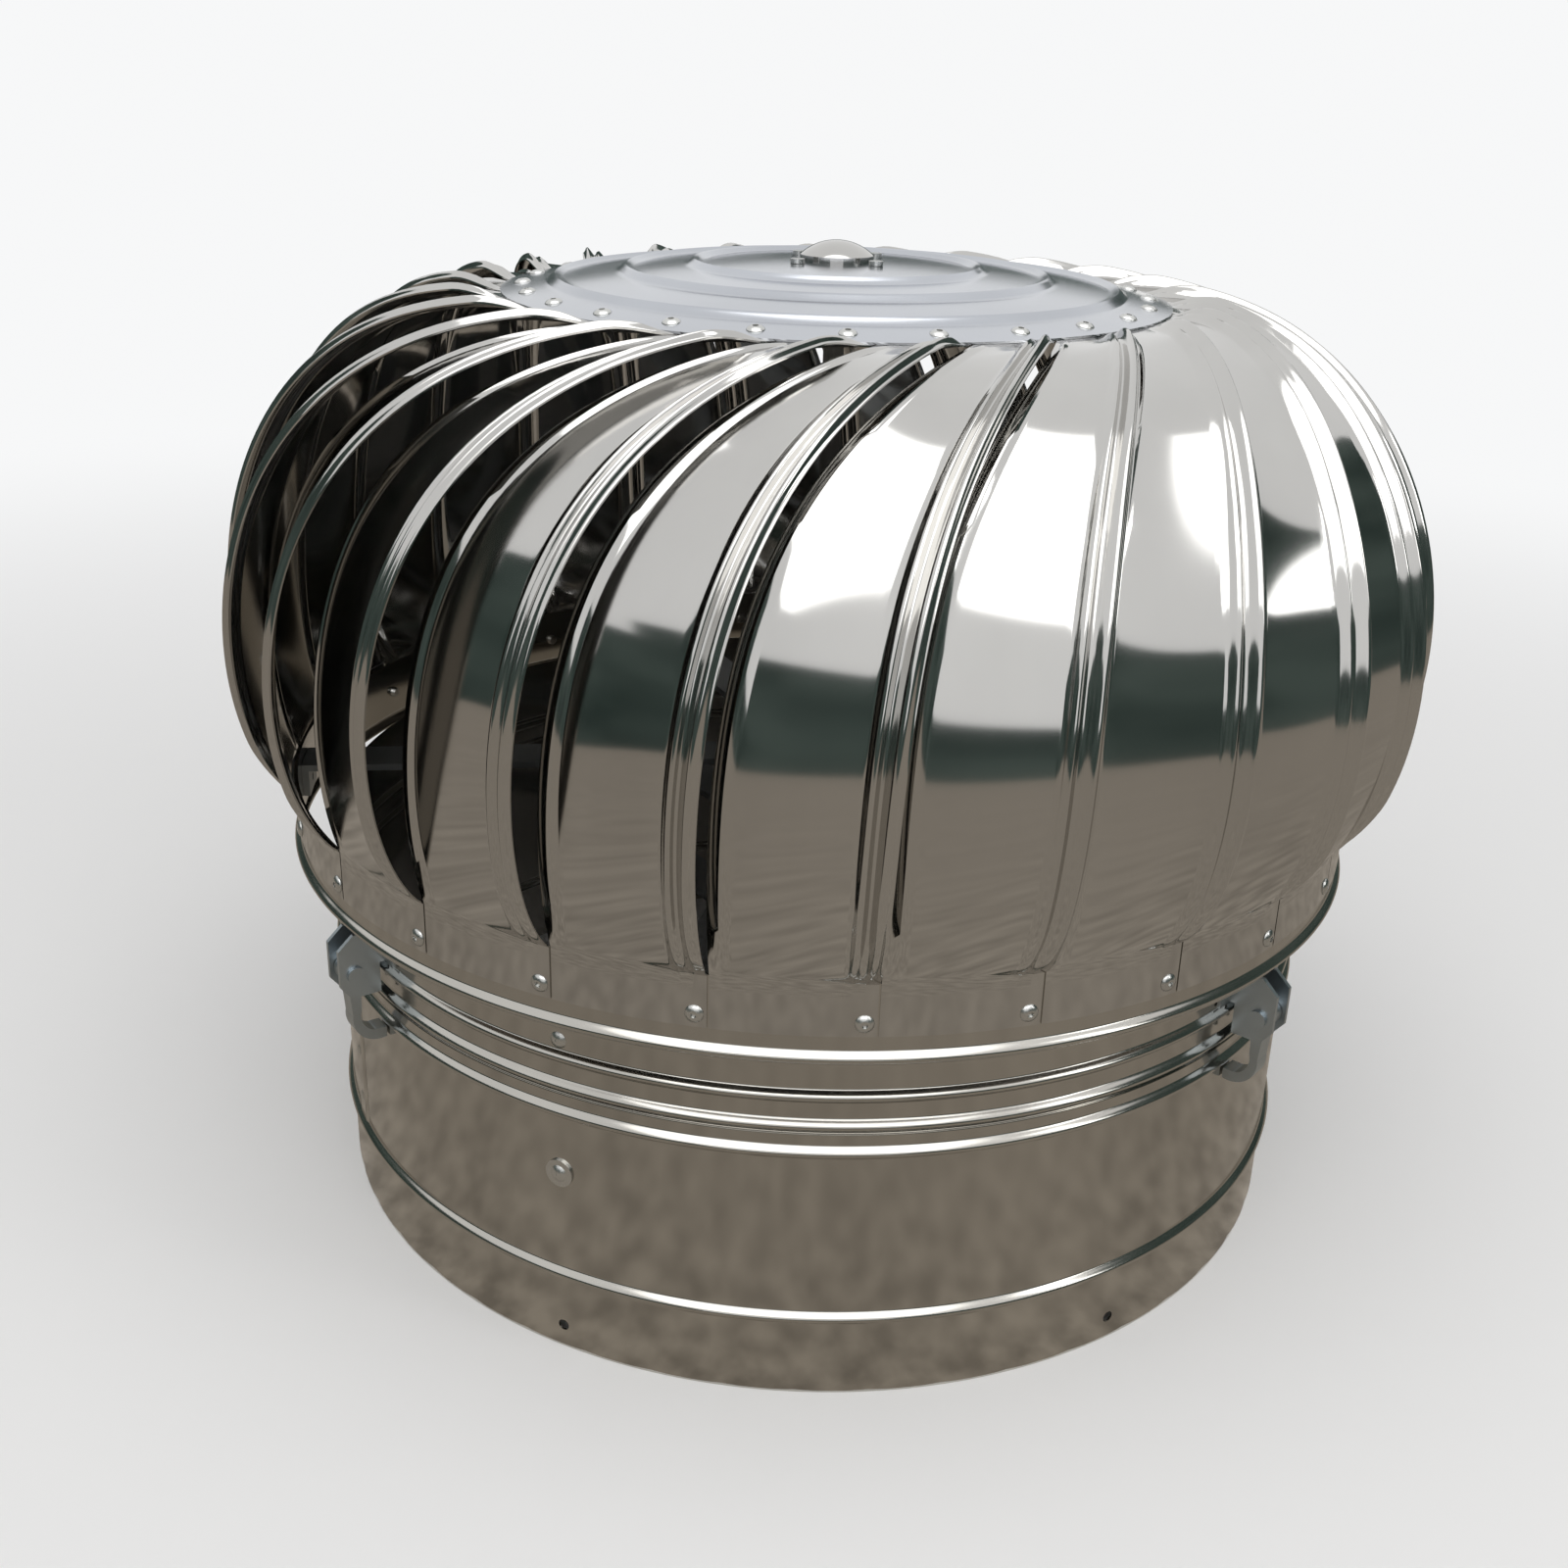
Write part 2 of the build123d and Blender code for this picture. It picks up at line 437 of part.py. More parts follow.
# %% Latches
def latch(side, angle):
    wall = COLLAR_RADIUS + 0.05
    plate_low = DRUM_HEIGHT + COLLAR_BEADS[1] + BEAD + 1
    plate_top = RING_BOTTOM - 5
    height = plate_top - plate_low
    pin_r = COLLAR_RADIUS + PIN_OUT
    plate = Pos(wall + PLATE_THICK / 2, 0, plate_low + height / 2) * Box(PLATE_THICK, PLATE_WIDTH, height)
    ear_in = COLLAR_RADIUS + BEAD_REACH + 1.5
    corners = [(wall + PLATE_THICK, plate_top), (pin_r, plate_top), (pin_r + 9, plate_top - 8), (pin_r + 9, PIN_Z - 6),
               (pin_r + 3, PIN_Z - 14), (ear_in, PIN_Z - 14), (ear_in, plate_low), (wall + PLATE_THICK, plate_low)]
    body = plate
    for sign in (-1, 1):
        y = sign * (EAR_SPACE + EAR_THICK) / 2
        body = body + Pos(0, y, 0) * extrude(make_face(outline(corners)), EAR_THICK / 2, dir=(0, 1, 0), both=True)
    pin = Pos(pin_r, 0, PIN_Z) * Rot(90, 0, 0) * Cylinder(PIN_RADIUS, EAR_SPACE + 2 * EAR_THICK + 4)
    heads = [Pos(pin_r, s * (EAR_SPACE / 2 + EAR_THICK + 1), PIN_Z) * Rot(90, 0, 0) * Cylinder(PIN_RADIUS + 2, 2)
             for s in (-1, 1)]
    body = body - pin
    plate_rivets = []
    z = plate_low + height / 2
    bulb_reach = PLATE_WIDTH / 2 - 5 + RIVET_SHANK * 1.5
    bulb_seat = math.sqrt(COLLAR_INNER ** 2 - bulb_reach ** 2) - TAB_GAP
    for sign in (-1, 1):
        shift = Pos(0, sign * (PLATE_WIDTH / 2 - 5), 0)
        hole = shift * radial_pin(RIVET_SHANK, COLLAR_INNER - 5, NECK_RADIUS + 9, z, 0)
        body = body - hole
        parts["neck_collar"] = parts["neck_collar"] - around(hole, angle)
        face = wall + PLATE_THICK
        plate_rivets.append(around(shift * blind_rivet(face, face - bulb_seat, z, 0), angle))
    tip_z = TOP_BEAD_Z - BEAD - 2.0
    claw_in = NECK_RADIUS + 0.8
    knee = NECK_RADIUS + BEAD_REACH + 4.0
    line = (Line((pin_r + 4.0, 0, PIN_Z), (pin_r + 2.0, 0, tip_z + 12))
            + ThreePointArc((pin_r + 2.0, 0, tip_z + 12), (pin_r - 3.5, 0, tip_z - 3), (claw_in, 0, tip_z - 6))
            + Line((claw_in, 0, tip_z - 6), (claw_in, 0, tip_z)) + Line((claw_in, 0, tip_z), (knee, 0, tip_z))
            + ThreePointArc((knee, 0, tip_z), (pin_r - 4.5, 0, tip_z + 4), (pin_r - 3.0, 0, tip_z + 14))
            + Line((pin_r - 3.0, 0, tip_z + 14), (pin_r - 4.0, 0, PIN_Z)) + Line((pin_r - 4.0, 0, PIN_Z), (pin_r + 4.0, 0, PIN_Z)))
    half = EAR_SPACE / 2 - CLAW_GAP
    arm = extrude(make_face(line), half, dir=(0, 1, 0), both=True)
    eye = Pos(pin_r, 0, PIN_Z) * Rot(90, 0, 0) * Cylinder(CLAW_EYE, 2 * half)
    bore = Pos(pin_r, 0, PIN_Z) * Rot(90, 0, 0) * Cylinder(PIN_RADIUS + 0.1, 40)
    parts["latch_base_" + side] = around(body, angle)
    parts["latch_pin_" + side] = around(pin + heads, angle)
    parts["latch_rivets_" + side] = Compound(plate_rivets)
    parts["latch_claw_" + side] = around(arm + eye - bore, angle)


neck()
shaft()
bearing("upper_bearing", UPPER_BEARING_Z)
bearing("lower_bearing", LOWER_BEARING_Z)
rotor()
hub_cap()
for latch_side, latch_angle in LATCH_ANGLES.items():
    latch(latch_side, latch_angle)

os.makedirs("parts", exist_ok=True)
for name, shape in parts.items():
    export_step(shape if isinstance(shape, Compound) else Compound([shape]), "parts/%s.step" % name)
print(len(parts), "nodes")
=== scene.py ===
# %% [markdown]
# # Roof turbine ventilator
# A round neck of polished steel sheet carries a head of curved vanes that the wind turns.
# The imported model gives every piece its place, so this scene only adds finer sheet metal,
# finishes, a plain studio and a camera.

# %% Load the frame
import bpy
import bmesh
import json
import math
from mathutils import Matrix, Vector


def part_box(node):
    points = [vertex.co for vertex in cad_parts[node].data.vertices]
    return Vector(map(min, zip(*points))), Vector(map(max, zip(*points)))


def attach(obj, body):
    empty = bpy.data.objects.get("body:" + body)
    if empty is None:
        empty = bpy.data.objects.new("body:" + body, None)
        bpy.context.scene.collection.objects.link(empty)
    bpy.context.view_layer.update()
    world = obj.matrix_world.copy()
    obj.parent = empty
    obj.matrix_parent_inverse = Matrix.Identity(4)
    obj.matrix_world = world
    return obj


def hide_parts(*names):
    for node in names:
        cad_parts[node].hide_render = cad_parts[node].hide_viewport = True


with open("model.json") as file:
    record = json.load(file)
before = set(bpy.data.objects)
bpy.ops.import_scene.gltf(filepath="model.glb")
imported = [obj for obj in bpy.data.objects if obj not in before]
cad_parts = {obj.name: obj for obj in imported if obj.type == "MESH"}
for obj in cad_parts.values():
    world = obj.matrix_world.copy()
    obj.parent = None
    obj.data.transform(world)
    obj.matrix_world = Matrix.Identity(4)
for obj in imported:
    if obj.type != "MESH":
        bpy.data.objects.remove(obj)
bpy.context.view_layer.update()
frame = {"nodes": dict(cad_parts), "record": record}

# %% [markdown]
# ## Sizes
# The heights of the sleeves are read from the frame, and the sheet's own details are named here
# in metres. A rolled bead is a half-round swelling that stiffens the sheet.

# %% Sizes of the sheet metal
MM = 0.001
SHEET = 1.2 * MM
VANE_SHEET = 0.8 * MM
BEAD_HALF = 4.0 * MM
BEAD_REACH = 3.4 * MM
DRUM_RADIUS = 300.0 * MM
COLLAR_RADIUS = 298.6 * MM
RING_RADIUS = 320.0 * MM
RIM_RADIUS = 190.0 * MM
LOW_BEAD, TOP_BEAD = 49.0 * MM, 151.0 * MM
TURN_STEPS = 360

DRUM_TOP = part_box("base_drum")[1].z
COLLAR_LOW, COLLAR_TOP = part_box("neck_collar")[0].z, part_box("neck_collar")[1].z
RING_LOW, RING_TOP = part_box("rotor_ring")[0].z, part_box("rotor_ring")[1].z
print("drum top %.3f, ring %.3f to %.3f m" % (DRUM_TOP, RING_LOW, RING_TOP))

# %% [markdown]
# ## Finishes
# Polished stainless sheet is a mirror that is not quite flat: its reflections wander, and the
# rolling leaves faint streaks. A picture of real steel could be wrapped on, but it would stretch
# over the beads. A metal shader whose roughness follows a stretched noise, with a very weak bump,
# fits any shape and has no seams.

# %% Noise and bump of every metal
STREAK_SCALE, STREAK_DETAIL = 9.0, 6.0
SWELL_SCALE, SWELL_DETAIL = 7.0, 1.0
DULL_SHARE = 0.86
DULL_AT, BRIGHT_AT = 0.3, 0.7
SMOOTHEST = 0.02
WAVE_DEPTH, GRAIN_DEPTH = 10 * MM, 0.5 * MM


def noise(nodes, scale, detail):
    texture = nodes.new("ShaderNodeTexNoise")
    texture.inputs["Scale"].default_value = scale
    texture.inputs["Detail"].default_value = detail
    return texture


def two_tones(nodes, low_place, low_colour, high_place, high_colour):
    """Colour ramp between two colours."""
    ramp = nodes.new("ShaderNodeValToRGB")
    low, high = ramp.color_ramp.elements
    low.position, low.color = low_place, (*low_colour, 1)
    high.position, high.color = high_place, (*high_colour, 1)
    return ramp


def bump(nodes, strength, distance):
    relief = nodes.new("ShaderNodeBump")
    relief.inputs["Strength"].default_value = strength
    relief.inputs["Distance"].default_value = distance
    return relief


# %% Helper for metal finishes
def metal(name, colour, roughness, spread, grain, wave=0.0, fine=0.0):
    """Metal with roughness that varies by `spread`; `grain` stretches the noise in X, Y and Z."""
    material = bpy.data.materials.new(name)
    material.use_nodes = True
    nodes, links = material.node_tree.nodes, material.node_tree.links
    shader = nodes["Principled BSDF"]
    shader.inputs["Metallic"].default_value = 1.0
    place = nodes.new("ShaderNodeTexCoord")
    stretch = nodes.new("ShaderNodeMapping")
    stretch.inputs["Scale"].default_value = grain
    links.new(place.outputs["Object"], stretch.inputs["Vector"])
    streaks = noise(nodes, STREAK_SCALE, STREAK_DETAIL)
    links.new(stretch.outputs["Vector"], streaks.inputs["Vector"])
    rough = nodes.new("ShaderNodeMapRange")
    rough.inputs["To Min"].default_value = max(roughness - spread, SMOOTHEST)
    rough.inputs["To Max"].default_value = roughness + spread
    links.new(streaks.outputs["Fac"], rough.inputs["Value"])
    links.new(rough.outputs["Result"], shader.inputs["Roughness"])
    tone = two_tones(nodes, DULL_AT, [c * DULL_SHARE for c in colour], BRIGHT_AT, colour)
    links.new(streaks.outputs["Fac"], tone.inputs["Fac"])
    links.new(tone.outputs["Color"], shader.inputs["Base Color"])
    if wave or fine:
        swell = noise(nodes, SWELL_SCALE, SWELL_DETAIL)
        links.new(place.outputs["Object"], swell.inputs["Vector"])
        broad, small = bump(nodes, wave, WAVE_DEPTH), bump(nodes, fine, GRAIN_DEPTH)
        links.new(swell.outputs["Fac"], broad.inputs["Height"])
        links.new(streaks.outputs["Fac"], small.inputs["Height"])
        links.new(broad.outputs["Normal"], small.inputs["Normal"])
        links.new(small.outputs["Normal"], shader.inputs["Normal"])
    print("made material", name)
    return material


# %% [markdown]
# The mirror sheet of the vanes is the brightest. The neck has been handled more, so it is a
# little rougher, and its colour is a little darker and warmer as a painted reflection of brown
# ground; the disc on top is dulled and bluish. Latches are zinc-plated, the strips inside are
# galvanised, and the bearings are ground steel.

# %% The finishes of this ventilator
mirror_sheet = metal("polished_stainless_sheet", (0.60, 0.59, 0.57), 0.09, 0.035,
                     (1, 1, 0.12), wave=0.12, fine=0.05)
# Neck colour darker and warmer than the vanes: a painted reflection of brown ground.
neck_sheet = metal("stainless_neck_sheet", (0.56, 0.54, 0.50), 0.14, 0.05,
                   (1, 1, 0.15), wave=0.16, fine=0.12)
crown_sheet = metal("handled_crown_sheet", (0.57, 0.59, 0.63), 0.18, 0.08,
                    (1, 1, 1), wave=0.14, fine=0.10)
rivet_metal = metal("rivet_steel_finish", (0.66, 0.66, 0.64), 0.28, 0.08, (4, 4, 4), fine=0.2)
zinc_metal = metal("zinc_plate_finish", (0.50, 0.55, 0.58), 0.34, 0.10, (5, 5, 5), fine=0.3)
strip_metal = metal("galvanised_strip_finish", (0.42, 0.44, 0.45), 0.42, 0.12, (6, 6, 6), fine=0.4)
ground_metal = metal("ground_steel_finish", (0.56, 0.56, 0.57), 0.22, 0.05, (3, 3, 12), fine=0.2)
hub_metal = metal("turned_aluminium_finish", (0.62, 0.63, 0.64), 0.30, 0.08, (2, 2, 14), fine=0.3)
SLOT_FINISH = {
    "stainless_sheet": mirror_sheet,
    "rivet_steel": rivet_metal,
    "zinc_latch": zinc_metal,
    "galvanised_strip": strip_metal,
    "bearing_steel": ground_metal,
    "cast_hub": hub_metal,
}

# %% [markdown]
# Spiders, shaft, bearings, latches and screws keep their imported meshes, because they are flat
# strips and turned pieces that need no finer form. Each gets the finish of its material slot.

# %% Give every carried-over node its finish
SHEET_CURVED_UNDER, PIECE_CURVED_UNDER = 50, 40


def shade_smooth(mesh, sharp_degrees):
    for polygon in mesh.polygons:
        polygon.use_smooth = True
    mesh.set_sharp_from_angle(angle=math.radians(sharp_degrees))


for part in frame["record"]["subparts"]:
    node = frame["nodes"][part["node"]]
    node.data.materials.clear()
    node.data.materials.append(SLOT_FINISH[part["material_slot"]])

# %% [markdown]
# ## Turned sheet
# The drum, collar, ring and crown disc are thin sheet rolled round an axis. Two closed surfaces
# could be joined at their rims by hand. It is simpler to turn a profile of the outer face about
# Z and let the Solidify modifier add the thickness, which keeps both faces parallel through
# every bead.


# %% Helper that gives a surface its thickness
def sheet_object(name, vertices, faces, thickness, material, body, node):
    mesh = bpy.data.meshes.new(name)
    mesh.from_pydata(vertices, [], faces)
    mesh.validate()
    piece = bpy.data.objects.new(name, mesh)
    bpy.context.scene.collection.objects.link(piece)
    solid = piece.modifiers.new("sheet", "SOLIDIFY")
    solid.thickness = thickness
    solid.offset = -1
    solid.use_even_offset = True
    view = bpy.context.evaluated_depsgraph_get()
    finished = bpy.data.meshes.new_from_object(piece.evaluated_get(view))
    piece.modifiers.clear()
    piece.data = finished
    shade_smooth(finished, SHEET_CURVED_UNDER)
    finished.materials.clear()
    finished.materials.append(material)
    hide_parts(node)
    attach(piece, body)
    print(name, len(finished.polygons), "faces")
    return piece


# %% Helper that turns a profile about Z
def turned_sheet(name, profile, material, body, node):
    """Sheet turned from a profile of (radius, height) points of its outer face."""
    vertices, faces = [], []
    count = len(profile)
    for step in range(TURN_STEPS):
        angle = 2 * math.pi * step / TURN_STEPS
        for radius, height in profile:
            vertices.append((radius * math.cos(angle), radius * math.sin(angle), height))
    for step in range(TURN_STEPS):
        after = (step + 1) % TURN_STEPS
        for index in range(count - 1):
            faces.append((step * count + index, after * count + index,
                          after * count + index + 1, step * count + index + 1))
    return sheet_object(name, vertices, faces, SHEET, material, body, node)


# %% [markdown]
# A bead is rolled into the sheet from inside. Its section follows a cosine, a little slimmer than
# a plain one. An extra row of points on each side keeps the wall beside it flat, so that the
# smooth shading doesn't bend the wall's reflections.

# %% Profile of a beaded sleeve
BEAD_STEPS, BEAD_SLIMNESS = 16, 1.2
BESIDE_BEAD = 0.5 * MM


def beaded_profile(radius, low, high, bead_heights, wall_rows=()):
    """Outer face of an upright sheet with rolled beads, and plain rows of points low down."""
    points = [(radius, low)] + [(radius, height) for height in wall_rows]
    for height in bead_heights:
        points.append((radius, height - BEAD_HALF - BESIDE_BEAD))
        for step in range(BEAD_STEPS + 1):
            along = -1 + 2 * step / BEAD_STEPS
            swelling = math.cos(math.pi / 2 * along) ** BEAD_SLIMNESS
            points.append((radius + BEAD_REACH * swelling, height + along * BEAD_HALF))
        points.append((radius, height + BEAD_HALF + BESIDE_BEAD))
    points.append((radius, high))
    return points


# %% Drum
HOLE_ROWS = [z * MM for z in (4, 8, 20, 26)]
drum_profile = beaded_profile(DRUM_RADIUS, 0, DRUM_TOP, [LOW_BEAD, TOP_BEAD], HOLE_ROWS)
drum = turned_sheet("drum_sheet", drum_profile, neck_sheet, "neck", "base_drum")

# %% [markdown]
# ## Holes and seam of the drum
# Six holes by the rim take screws into the duct. They could be left as gaps in the grid, but
# those would be square, so a Boolean modifier cuts them with round bits. The drum is one sheet
# rolled round and lapped, and the lap shows as a strip that stands off the wall by a hair.

# %% Places of the holes and the seam
HOLE_RADIUS, HOLE_HEIGHT, HOLES = 3.25 * MM, 14 * MM, 6
BIT_LENGTH, BIT_SIDES = 20 * MM, 24
FIRST_HOLE_TURN, SEAM_TURN = math.radians(-115), math.radians(207)
SEAM_WIDTH, SEAM_STEPS = 22 * MM, 12
SEAM_LIFT, SEAM_SEAT, SEAM_EDGE_SHARE = 0.9 * MM, 0.05 * MM, 1 / 6


def radial_place(angle, radius, height):
    """Matrix that stands a piece's Z axis along the radius, at a point of the wall."""
    turn = Matrix.Rotation(angle, 4, "Z") @ Matrix.Translation((radius, 0, height))
    return turn @ Matrix.Rotation(math.pi / 2, 4, "Y")


def shaped_object(name, build, material):
    """Object whose mesh the function `build` fills."""
    mesh = bpy.data.meshes.new(name)
    shape = bmesh.new()
    build(shape)
    shape.to_mesh(mesh)
    shape.free()
    shade_smooth(mesh, PIECE_CURVED_UNDER)
    mesh.materials.append(material)
    piece = bpy.data.objects.new(name, mesh)
    bpy.context.scene.collection.objects.link(piece)
    return piece


# %% Cut the holes
def drill_bits(shape):
    for index in range(HOLES):
        angle = FIRST_HOLE_TURN + index * 2 * math.pi / HOLES
        bmesh.ops.create_cone(shape, cap_ends=True, segments=BIT_SIDES, radius1=HOLE_RADIUS,
                              radius2=HOLE_RADIUS, depth=BIT_LENGTH,
                              matrix=radial_place(angle, DRUM_RADIUS, HOLE_HEIGHT))


bits = shaped_object("drill_bits", drill_bits, neck_sheet)
cut = drum.modifiers.new("holes", "BOOLEAN")
cut.operation = "DIFFERENCE"
cut.object = bits
drilled = bpy.data.meshes.new_from_object(drum.evaluated_get(bpy.context.evaluated_depsgraph_get()))
drum.modifiers.clear()
drum.data = drilled
bpy.data.objects.remove(bits)
shade_smooth(drilled, SHEET_CURVED_UNDER)
print("drum with holes", len(drilled.polygons), "faces")


# %% Lap seam
def seam_strip(shape):
    rows = []
    for height in (LOW_BEAD + BEAD_HALF, TOP_BEAD - BEAD_HALF):
        row = []
        for step in range(SEAM_STEPS + 1):
            angle = SEAM_TURN + (step / SEAM_STEPS - 0.5) * SEAM_WIDTH / DRUM_RADIUS
            from_edge = min(step, SEAM_STEPS - step) / SEAM_STEPS
            radius = DRUM_RADIUS + SEAM_LIFT * min(1.0, from_edge / SEAM_EDGE_SHARE) + SEAM_SEAT
            row.append(shape.verts.new((radius * math.cos(angle), radius * math.sin(angle), height)))
        rows.append(row)
    for step in range(SEAM_STEPS):
        shape.faces.new((rows[0][step], rows[0][step + 1], rows[1][step + 1], rows[1][step]))


seam = shaped_object("drum_lap_seam", seam_strip, neck_sheet)
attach(seam, "neck")

# %% [markdown]
# ## Collar and ring
# The collar slips into the drum and sits on it with the lower of its two beads. The ring above
# it belongs to the head: the vanes are riveted to its outside, and one bead stiffens its edge.

# %% Collar and ring
COLLAR_BEADS = [DRUM_TOP + 5 * MM, DRUM_TOP + 22 * MM]
RING_EDGE = 1 * MM
collar_profile = beaded_profile(COLLAR_RADIUS, COLLAR_LOW, COLLAR_TOP, COLLAR_BEADS)
turned_sheet("collar_sheet", collar_profile, neck_sheet, "neck", "neck_collar")
ring_profile = beaded_profile(RING_RADIUS, RING_LOW, RING_TOP, [RING_LOW + BEAD_HALF + RING_EDGE])
turned_sheet("ring_sheet", ring_profile, neck_sheet, "head", "rotor_ring")

# %% [markdown]
# ## Crown disc
# The disc that closes the head is pressed from one sheet. It is slightly domed, and three raised
# rings stiffen it. A bump in the material would lose the rings' outline, so they are part of the
# turned profile.

# %% Crown disc
CROWN_Z, CROWN_RISE = 531.0 * MM, 18.0 * MM
RIDGES = (81 * MM, 120 * MM, 160 * MM)
RIDGE_HALF, RIDGE_HEIGHT = 5 * MM, 3 * MM
DISC_HOLE, DISC_RINGS = 21.0 * MM, 84


def crown_height(radius):
    """Top of the plain dome."""
    return CROWN_Z + CROWN_RISE * (1 - (radius / RIM_RADIUS) ** 2)


def disc_height(radius):
    """Top of the dome with its raised rings."""
    height = crown_height(radius)
    for ridge in RIDGES:
        away = abs(radius - ridge) / RIDGE_HALF
        if away < 1:
            height += RIDGE_HEIGHT * math.cos(math.pi / 2 * away) ** 2
    return height


disc_radii = [RIM_RADIUS - (RIM_RADIUS - DISC_HOLE) * i / DISC_RINGS for i in range(DISC_RINGS + 1)]
turned_sheet("crown_sheet", [(r, disc_height(r)) for r in disc_radii], crown_sheet, "head", "crown_disc")

# %% [markdown]
# ## Vanes
# Each vane is one strip of sheet. It is riveted to the ring, swells out, leans as it rises and
# ends under the crown disc. Its leading edge stands proud of the next vane and is rolled into a
# double rib, so the wind catches it and rain runs past it. A curve with a bevel could draw the
# strip, but not its ribs or its changing width. Here the strip is worked out as a grid: one
# direction follows the vane up, the other goes across it.

# %% Path of a vane
VANES = 25
PITCH = 2 * math.pi / VANES
SLIT = 1.0 * MM
TAB_LOW = RING_TOP - 28 * MM
FIRST_EDGE, LEAN, LEAN_POWER = math.radians(-98.6), math.radians(29.0), 4
BELLY, SHOULDER = (26 * MM, 80 * MM), (132 * MM, -8 * MM)
CROWN_LAP = 22 * MM
SEAT = 0.1 * MM
FACE = RING_RADIUS + SEAT + VANE_SHEET
VANE_END = crown_height(RIM_RADIUS) - SHEET - SEAT


def vane_path(t):
    """Outer face of a vane at its rear edge: t is 0 at the ring's top and 1 at the disc's rim."""
    if t < 0:
        return FACE, RING_TOP + t * (RING_TOP - TAB_LOW)
    if t > 1:
        radius = RIM_RADIUS - (t - 1) * CROWN_LAP
        return radius, crown_height(radius) - SHEET - SEAT
    knots = [(FACE, RING_TOP), (FACE + BELLY[0], RING_TOP + BELLY[1]),
             (RIM_RADIUS + SHOULDER[0], VANE_END + SHOULDER[1]), (RIM_RADIUS, VANE_END)]
    weights = ((1 - t) ** 3, 3 * t * (1 - t) ** 2, 3 * t * t * (1 - t), t ** 3)
    radius = sum(w * k[0] for w, k in zip(weights, knots))
    return radius, sum(w * k[1] for w, k in zip(weights, knots))


# %% [markdown]
# Across the strip there are two ribs by the leading edge and a low one by the rear edge, each
# with the section of a squared sine, which meets the flat sheet without a kink. They run out
# just before the disc, where the edge still stands off like a lip.

# %% Section across a vane
EDGE_RIB, INNER_RIB, REAR_RIB, REAR_MARGIN = 9 * MM, 8 * MM, 6 * MM, 3 * MM
RIB_HEIGHT, INNER_SHARE, REAR_SHARE = 4.2 * MM, 0.85, 0.45
RIB_START, RIB_RUNOUT = 1 / 8, 0.03
OPEN_GAP, GAP_SKEW, GAP_POWER = 24 * MM, 0.8, 1.7
LIP_SHARE, LIP_START, LIP_GROWTH, LIP_RUNOUT = 0.30, 0.5, 0.4, 0.07
SLOPE_STEP = 0.004


def smooth(x):
    x = min(max(x, 0.0), 1.0)
    return x * x * (3 - 2 * x)


def rolled(distance, width):
    return math.sin(math.pi * distance / width) ** 2 if 0 < distance < width else 0.0


def rib_height(from_edge, from_rear):
    """Height of the rolled ribs, by distance from the leading and the rear edge."""
    leading = rolled(from_edge, EDGE_RIB) + INNER_SHARE * rolled(from_edge - EDGE_RIB, INNER_RIB)
    return RIB_HEIGHT * (leading + REAR_SHARE * rolled(from_rear - REAR_MARGIN, REAR_RIB))


def edge_rise(inside):
    """How far the leading edge stands off the next vane."""
    swell = math.sin(math.pi * inside ** GAP_SKEW)
    lip = LIP_SHARE * smooth((inside - LIP_START) / LIP_GROWTH) * smooth((1 - inside) / LIP_RUNOUT)
    return OPEN_GAP * math.hypot(swell, lip)


# %% Point of a vane
def vane_vertex(t, s, turn):
    """Point at t along the vane and s across it, from its rear edge to its leading edge."""
    inside = min(max(t, 0.0), 1.0)
    r0, z0 = vane_path(inside - SLOPE_STEP if inside > SLOPE_STEP else inside)
    r1, z1 = vane_path(inside + SLOPE_STEP if inside < 1 - SLOPE_STEP else inside)
    length = math.hypot(r1 - r0, z1 - z0)
    radius, height = vane_path(t)
    width = PITCH - SLIT / radius
    across = width * radius
    fade = min(1.0, inside / RIB_START) * min(1.0, (1 - inside) / RIB_RUNOUT)
    proud = edge_rise(inside) * s ** GAP_POWER
    proud += rib_height((1 - s) * across, s * across) * fade
    angle = FIRST_EDGE + LEAN * inside ** LEAN_POWER - (1 - s) * width + turn
    radius += (z1 - z0) / length * proud
    height += (r0 - r1) / length * proud
    return radius * math.cos(angle), radius * math.sin(angle), height


# %% [markdown]
# The grid is close where the form changes fast: near the disc, and across the ribs by the
# leading edge. Elsewhere the sheet is calm and needs fewer points.

# %% Build the vanes
TAB_ROWS, BODY_ROWS, END_ROWS, END_FROM = 4, 60, 12, 0.9
PLAIN_COLUMNS, RIB_COLUMNS, PLAIN_SHARE = 22, 26, 0.78
END_STEP = (1 - END_FROM) / END_ROWS
ALONG = [-1 + i / TAB_ROWS for i in range(TAB_ROWS)]
ALONG += [i / BODY_ROWS for i in range(round(END_FROM * BODY_ROWS))]
ALONG += [END_FROM + i * END_STEP for i in range(END_ROWS + 1)]
ALONG += [1 + i / TAB_ROWS for i in range(1, TAB_ROWS + 1)]
ACROSS = [i / PLAIN_COLUMNS * PLAIN_SHARE for i in range(PLAIN_COLUMNS)]
ACROSS += [PLAIN_SHARE + (1 - PLAIN_SHARE) * i / RIB_COLUMNS for i in range(RIB_COLUMNS + 1)]


def make_vane(number):
    turn = PITCH * (number - 1)
    vertices = [vane_vertex(t, s, turn) for t in ALONG for s in ACROSS]
    wide = len(ACROSS)
    faces = []
    for i in range(len(ALONG) - 1):
        for j in range(wide - 1):
            corner = i * wide + j
            faces.append((corner, corner + 1, corner + wide + 1, corner + wide))
    sheet_object("vane_%02d" % number, vertices, faces, VANE_SHEET, mirror_sheet, "head",
                 "blade_%02d" % number)


for number in range(1, VANES + 1):
    make_vane(number)

# %% [markdown]
# ## Blind rivets
# A blind rivet shows a low domed head with a round pit, where its pulled mandrel broke off, and
# its shank swells behind the sheets. All the rivets are turned from one small profile and set
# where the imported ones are, so that they sit on the same sheets.

